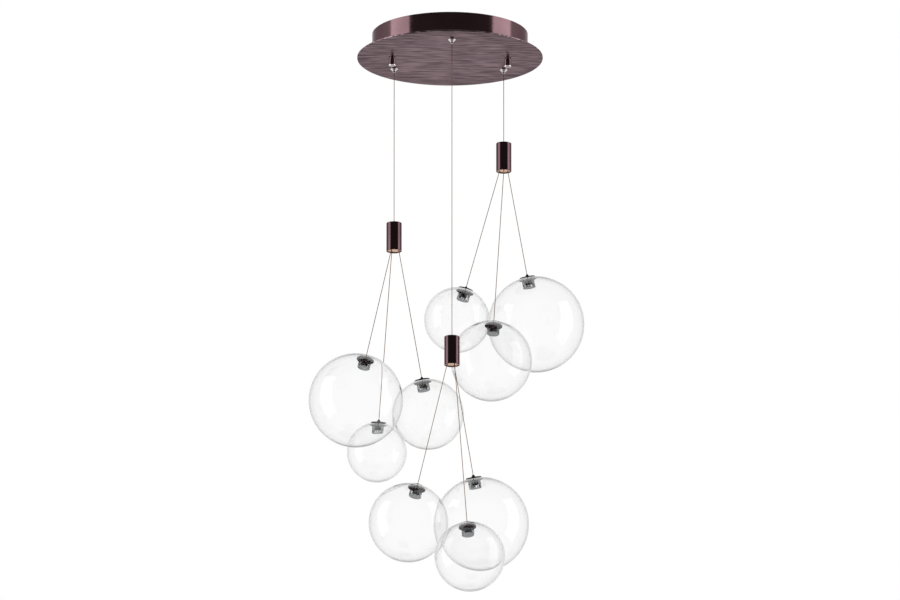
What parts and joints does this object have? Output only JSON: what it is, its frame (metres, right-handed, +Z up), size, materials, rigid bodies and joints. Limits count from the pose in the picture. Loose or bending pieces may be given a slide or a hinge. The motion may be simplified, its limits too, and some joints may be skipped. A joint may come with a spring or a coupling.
{
  "type": "cluster pendant light",
  "caption": "Cluster pendant: clear glass globes of mixed sizes hang touching in groups on thin cables from polished hubs, staggered in height under a round two-tier metal canopy.",
  "frame": {"origin": "centre of the canopy on the ceiling plane, midway between the ceiling screws", "axes": "+Z up into the ceiling, +X to the right of the picture, front towards -Y; the light hangs below Z = 0"},
  "size_m": [0.5961, 0.5129, 1.3031],
  "materials": {
    "canopy_drum": "polished dark bronze",
    "canopy_plate": "brushed dark bronze",
    "canopy_nuts": "zinc plated",
    "ceiling_bracket": "zinc plated",
    "mounting_studs": "zinc plated",
    "cap_nuts": "polished dark bronze",
    "led_driver": "satin white",
    "terminal_block": "satin",
    "cable_grips": "polished",
    "grip_ball": "satin",
    "cable": "copper coloured metal jacket",
    "hub_gland": "satin dark bronze",
    "hub_sleeve": "polished dark bronze",
    "hub_base": "satin copper",
    "globe_glass": "clear blown glass",
    "globe_cap": "satin black",
    "globe_lens": "clear facetted lens"
  },
  "bodies": {
    "canopy": {"canopy_drum": "canopy_drum", "canopy_plate": "canopy_plate", "canopy_nuts": "canopy_nuts", "ceiling_bracket": "ceiling_bracket", "mounting_studs": "mounting_studs", "cap_nuts": "cap_nuts", "led_driver": "led_driver", "terminal_block": "terminal_block", "cable_grips": "cable_grips"},
    "ball_a": {"grip_ball_a": "grip_ball"},
    "cable_a": {"main_cable_a": "cable"},
    "gland_a": {"hub_gland_a": "hub_gland"},
    "hub_a": {"hub_sleeve_a": "hub_sleeve", "hub_base_a": "hub_base"},
    "globe_a1": {"globe_a1_glass": "globe_glass", "globe_a1_cap": "globe_cap", "globe_a1_lens": "globe_lens", "globe_a1_cable": "cable"},
    "globe_a2": {"globe_a2_glass": "globe_glass", "globe_a2_cap": "globe_cap", "globe_a2_lens": "globe_lens", "globe_a2_cable": "cable"},
    "globe_a3": {"globe_a3_glass": "globe_glass", "globe_a3_cap": "globe_cap", "globe_a3_lens": "globe_lens", "globe_a3_cable": "cable"},
    "ball_b": {"grip_ball_b": "grip_ball"},
    "cable_b": {"main_cable_b": "cable"},
    "gland_b": {"hub_gland_b": "hub_gland"},
    "hub_b": {"hub_sleeve_b": "hub_sleeve", "hub_base_b": "hub_base"},
    "globe_b1": {"globe_b1_glass": "globe_glass", "globe_b1_cap": "globe_cap", "globe_b1_lens": "globe_lens", "globe_b1_cable": "cable"},
    "globe_b2": {"globe_b2_glass": "globe_glass", "globe_b2_cap": "globe_cap", "globe_b2_lens": "globe_lens", "globe_b2_cable": "cable"},
    "globe_b3": {"globe_b3_glass": "globe_glass", "globe_b3_cap": "globe_cap", "globe_b3_lens": "globe_lens", "globe_b3_cable": "cable"},
    "ball_c": {"grip_ball_c": "grip_ball"},
    "cable_c": {"main_cable_c": "cable"},
    "gland_c": {"hub_gland_c": "hub_gland"},
    "hub_c": {"hub_sleeve_c": "hub_sleeve", "hub_base_c": "hub_base"},
    "globe_c1": {"globe_c1_glass": "globe_glass", "globe_c1_cap": "globe_cap", "globe_c1_lens": "globe_lens", "globe_c1_cable": "cable"},
    "globe_c2": {"globe_c2_glass": "globe_glass", "globe_c2_cap": "globe_cap", "globe_c2_lens": "globe_lens", "globe_c2_cable": "cable"},
    "globe_c3": {"globe_c3_glass": "globe_glass", "globe_c3_cap": "globe_cap", "globe_c3_lens": "globe_lens", "globe_c3_cable": "cable"}
  },
  "joints": [
    {"name": "a_swing_front_back", "type": "hinge", "parent": "canopy", "child": "ball_a", "pos_m": [-0.11825, 0.07679, -0.057], "axis": [1, 0, 0], "range_deg": [-2.5, 6]},
    {"name": "a_swing_left_right", "type": "hinge", "parent": "ball_a", "child": "cable_a", "pos_m": [-0.11825, 0.07679, -0.057], "axis": [0, 1, 0], "range_deg": [-2, 6]},
    {"name": "a_height", "type": "slide", "parent": "cable_a", "child": "gland_a", "axis": [0, 0, 1], "range_m": [0, 0.04], "deforming": ["main_cable_a"]},
    {"name": "a_hub_turn", "type": "hinge", "parent": "gland_a", "child": "hub_a", "pos_m": [-0.11825, 0.07679, -0.402], "axis": [0, 0, 1], "range_deg": [-20, 40]},
    {"name": "a1_swing_out", "type": "hinge", "parent": "hub_a", "child": "globe_a1", "pos_m": [-0.1237, 0.06841, -0.4615], "axis": [-0.5231, 0.8523, 0], "range_deg": [0, 15]},
    {"name": "a2_swing_out", "type": "hinge", "parent": "hub_a", "child": "globe_a2", "pos_m": [-0.10827, 0.07627, -0.4615], "axis": [0.3929, -0.9196, 0], "range_deg": [0, 4]},
    {"name": "a3_swing_out", "type": "hinge", "parent": "hub_a", "child": "globe_a3", "pos_m": [-0.12279, 0.0857, -0.4615], "axis": [0.929, 0.3701, 0], "range_deg": [0, 15]},
    {"name": "b_swing_front_back", "type": "hinge", "parent": "canopy", "child": "ball_b", "pos_m": [0.11825, 0.07679, -0.057], "axis": [1, 0, 0], "range_deg": [-6, 2.5]},
    {"name": "b_swing_left_right", "type": "hinge", "parent": "ball_b", "child": "cable_b", "pos_m": [0.11825, 0.07679, -0.057], "axis": [0, 1, 0], "range_deg": [-6, 1.5]},
    {"name": "b_height", "type": "slide", "parent": "cable_b", "child": "gland_b", "axis": [0, 0, 1], "range_m": [0, 0.1], "deforming": ["main_cable_b"]},
    {"name": "b_hub_turn", "type": "hinge", "parent": "gland_b", "child": "hub_b", "pos_m": [0.11825, 0.07679, -0.2205], "axis": [0, 0, 1], "range_deg": [-10, 40]},
    {"name": "b1_swing_out", "type": "hinge", "parent": "hub_b", "child": "globe_b1", "pos_m": [0.10959, 0.08179, -0.28], "axis": [0.0779, 0.997, 0], "range_deg": [0, 2.5]},
    {"name": "b2_swing_out", "type": "hinge", "parent": "hub_b", "child": "globe_b2", "pos_m": [0.12691, 0.08179, -0.28], "axis": [0.543, -0.8398, 0], "range_deg": [0, 15]},
    {"name": "b3_swing_out", "type": "hinge", "parent": "hub_b", "child": "globe_b3", "pos_m": [0.11825, 0.06679, -0.28], "axis": [-0.8957, 0.4446, 0], "range_deg": [0, 7]},
    {"name": "c_swing_front_back", "type": "hinge", "parent": "canopy", "child": "ball_c", "pos_m": [0, -0.141, -0.057], "axis": [1, 0, 0], "range_deg": [-6, 5]},
    {"name": "c_swing_left_right", "type": "hinge", "parent": "ball_c", "child": "cable_c", "pos_m": [0, -0.141, -0.057], "axis": [0, 1, 0], "range_deg": [-6, 6]},
    {"name": "c_height", "type": "slide", "parent": "cable_c", "child": "gland_c", "axis": [0, 0, 1], "range_m": [0, 0.15], "deforming": ["main_cable_c"]},
    {"name": "c_hub_turn", "type": "hinge", "parent": "gland_c", "child": "hub_c", "pos_m": [0, -0.141, -0.72], "axis": [0, 0, 1], "range_deg": [-40, 40]},
    {"name": "c1_swing_out", "type": "hinge", "parent": "hub_c", "child": "globe_c1", "pos_m": [-0.01, -0.14117, -0.7795], "axis": [-0.3383, 0.941, 0], "range_deg": [0, 15]},
    {"name": "c2_swing_out", "type": "hinge", "parent": "hub_c", "child": "globe_c2", "pos_m": [0.00485, -0.13225, -0.7795], "axis": [0.6781, -0.735, 0], "range_deg": [0, 15]},
    {"name": "c3_swing_out", "type": "hinge", "parent": "hub_c", "child": "globe_c3", "pos_m": [0.00515, -0.14957, -0.7795], "axis": [-0.8977, -0.4406, 0], "range_deg": [0, 15]}
  ]
}
